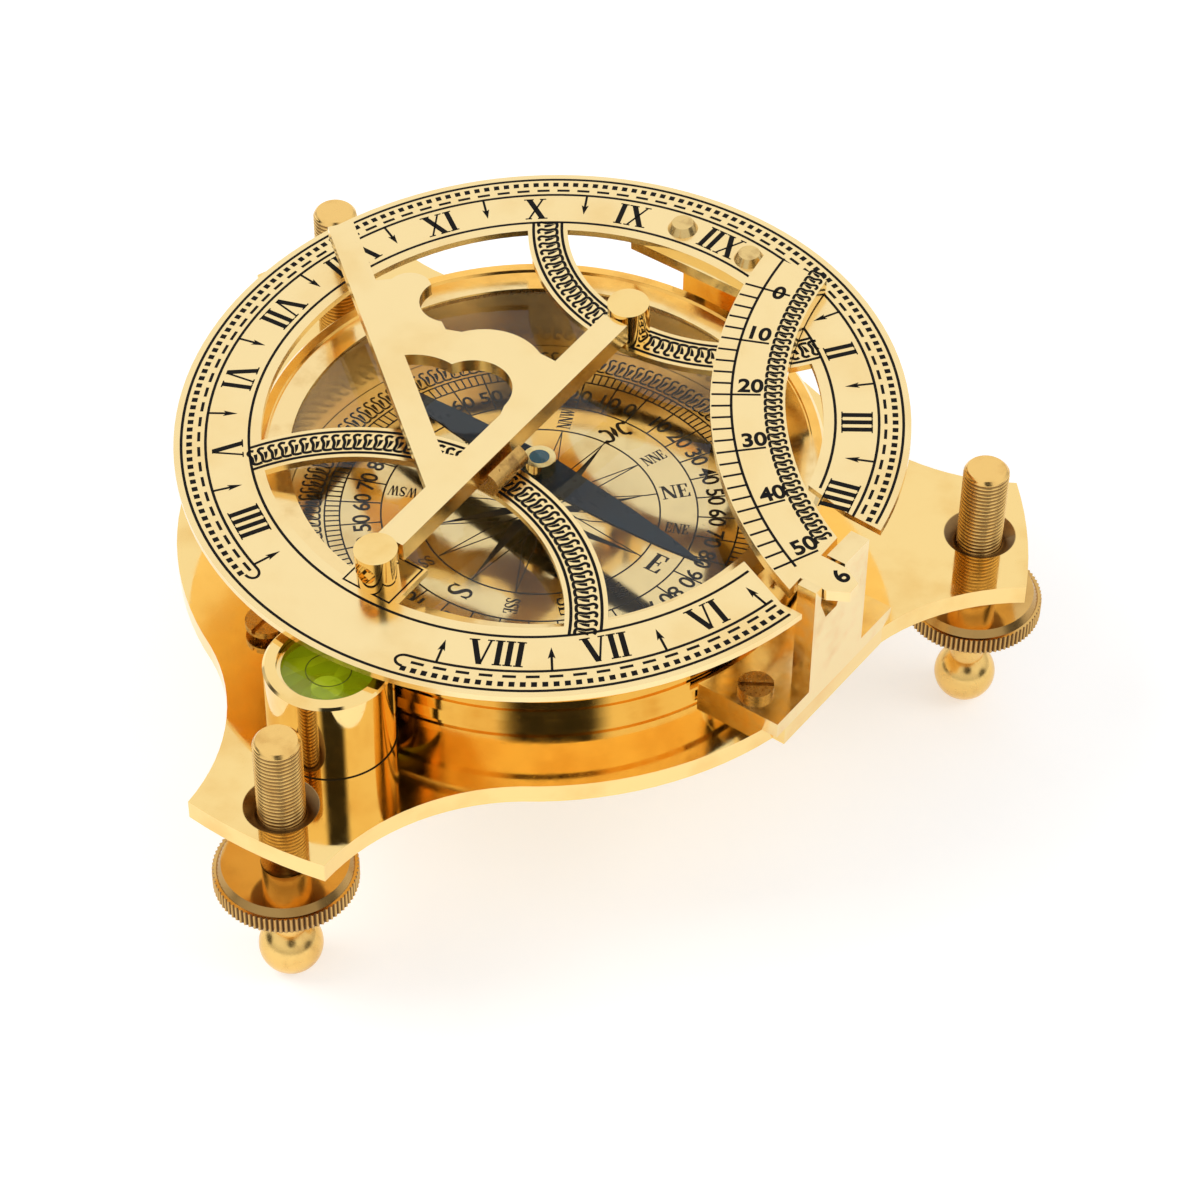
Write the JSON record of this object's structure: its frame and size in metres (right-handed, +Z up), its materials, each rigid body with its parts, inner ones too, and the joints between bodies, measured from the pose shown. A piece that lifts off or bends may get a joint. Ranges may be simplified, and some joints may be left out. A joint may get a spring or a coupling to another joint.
{
  "type": "sundial compass",
  "caption": "Brass sundial compass: tilting hour ring with folding gnomon and latitude arc over a glazed compass, on a trefoil base with levelling screws and a bullseye level.",
  "frame": {"origin": "on the floor under the base plate's centre, with all three ball feet on Z = 0", "axes": "+Z up, +Y north along the noon line to XII and the ring hinge, +X east to the latitude bracket"},
  "size_m": [0.158, 0.1527, 0.0705],
  "materials": {
    "brass": "mirror polished and lacquered",
    "engraved_brass": "polished pale brass with black-filled engraving",
    "blued_steel": "blue-black painted steel",
    "jewel": "teal glass bearing cap",
    "seat": "matt black seating ring",
    "glass": "clear flat glass",
    "level_fluid": "yellow-green spirit",
    "level_glass": "clear lens and bubble"
  },
  "bodies": {
    "base": {"base_plate": "brass", "compass_housing": "brass", "housing_screws": "brass", "compass_dial": "engraved_brass", "pivot_pin": "brass", "glass_seat": "seat", "glass": "glass", "bezel": "brass", "hinge_block": "brass", "hinge_pin": "brass", "hinge_screws": "brass", "arc_bracket": "brass", "arc_pin": "brass", "bracket_screws": "brass", "level_cup": "brass", "level_fluid": "level_fluid", "level_bubble": "level_glass", "level_glass": "level_glass", "level_retainer": "brass", "level_screw": "brass"},
    "ring": {"hour_ring": "engraved_brass", "hinge_leaf": "brass", "hinge_rivets": "brass", "post_south": "brass", "post_north": "brass", "gnomon_rest": "brass"},
    "gnomon": {"gnomon": "engraved_brass", "gnomon_pins": "brass"},
    "arc": {"latitude_arc": "engraved_brass"},
    "needle": {"needle": "blued_steel", "needle_cap": "brass", "needle_jewel": "jewel"},
    "south_foot": {"foot_s": "brass"},
    "south_screw": {"screw_s": "brass", "wheel_s": "brass"},
    "east_foot": {"foot_e": "brass"},
    "east_screw": {"screw_e": "brass", "wheel_e": "brass"},
    "west_foot": {"foot_w": "brass"},
    "west_screw": {"screw_w": "brass", "wheel_w": "brass"}
  },
  "joints": [
    {"name": "ring_tilt", "type": "hinge", "parent": "base", "child": "ring", "pos_m": [0, 0.05747, 0.05815], "axis": [-1, 0, 0], "range_deg": [0, 60]},
    {"name": "gnomon_fold", "type": "hinge", "parent": "ring", "child": "gnomon", "pos_m": [0, 0.00191, 0.06569], "axis": [0, 0.9976, 0.0698], "range_deg": [0, 90]},
    {"name": "latitude_arc_fold", "type": "hinge", "parent": "base", "child": "arc", "pos_m": [0.0602, -0.00269, 0.06266], "axis": [0, 0.9976, 0.0698], "range_deg": [0, 90]},
    {"name": "needle_spin", "type": "hinge", "parent": "base", "child": "needle", "pos_m": [0, 0.0015, 0.05045], "axis": [0, 0, 1], "continuous": true},
    {"name": "south_foot_slide", "type": "slide", "parent": "base", "child": "south_foot", "axis": [0, 0, 1], "range_m": [-0.004, 0.004]},
    {"name": "south_screw_turn", "type": "hinge", "parent": "south_foot", "child": "south_screw", "pos_m": [0.00669, -0.07651, 0], "axis": [0, 0, 1], "range_deg": [-1800, 1800]},
    {"name": "east_foot_slide", "type": "slide", "parent": "base", "child": "east_foot", "axis": [0, 0, 1], "range_m": [-0.004, 0.004]},
    {"name": "east_screw_turn", "type": "hinge", "parent": "east_foot", "child": "east_screw", "pos_m": [0.06291, 0.04405, 0], "axis": [0, 0, 1], "range_deg": [-1800, 1800]},
    {"name": "west_foot_slide", "type": "slide", "parent": "base", "child": "west_foot", "axis": [0, 0, 1], "range_m": [-0.004, 0.004]},
    {"name": "west_screw_turn", "type": "hinge", "parent": "west_foot", "child": "west_screw", "pos_m": [-0.0696, 0.03246, 0], "axis": [0, 0, 1], "range_deg": [-1800, 1800]}
  ],
  "couplings": [
    {"joint": "latitude_arc_fold", "follows": "ring_tilt", "ratio": 1.5},
    {"joint": "south_screw_turn", "follows": "south_foot_slide", "rad_per_m": 7854},
    {"joint": "east_screw_turn", "follows": "east_foot_slide", "rad_per_m": 7854},
    {"joint": "west_screw_turn", "follows": "west_foot_slide", "rad_per_m": 7854}
  ]
}
